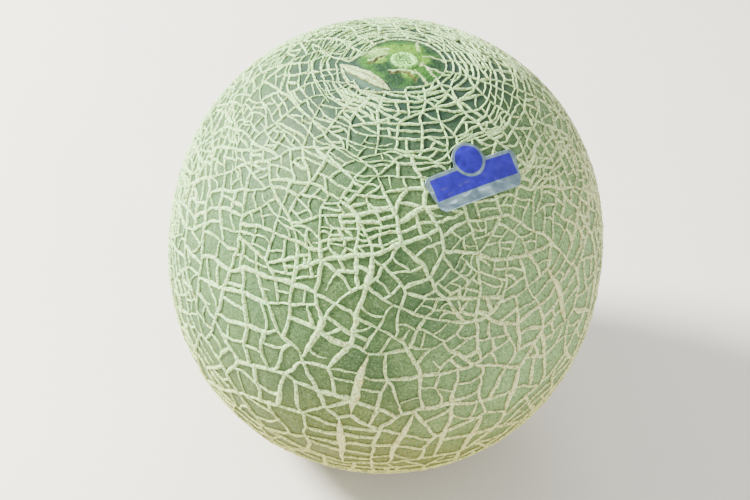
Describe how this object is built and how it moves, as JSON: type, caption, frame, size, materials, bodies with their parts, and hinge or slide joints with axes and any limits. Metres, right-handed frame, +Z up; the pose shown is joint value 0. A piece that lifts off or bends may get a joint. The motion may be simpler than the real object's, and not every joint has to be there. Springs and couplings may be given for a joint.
{
  "type": "muskmelon",
  "caption": "Whole netted muskmelon with a raised cork net on a green rind, a round stem scar, a small flat resting spot below and a blank label near the top.",
  "frame": {"origin": "centre of the bounding box in plan, on the flat resting spot at the blossom end", "axes": "+Z up through the stem scar; -Y is the side that the picture shows, +X to its right"},
  "size_m": [0.1458, 0.146, 0.1515],
  "materials": {
    "rind": "matte netted fruit rind, grey-green skin with cream to tan cork cords",
    "label": "thin satin foil label, blue field with a silver-grey border, blank"
  },
  "bodies": {
    "root": {"melon": "rind", "label": "label"}
  },
  "joints": []
}
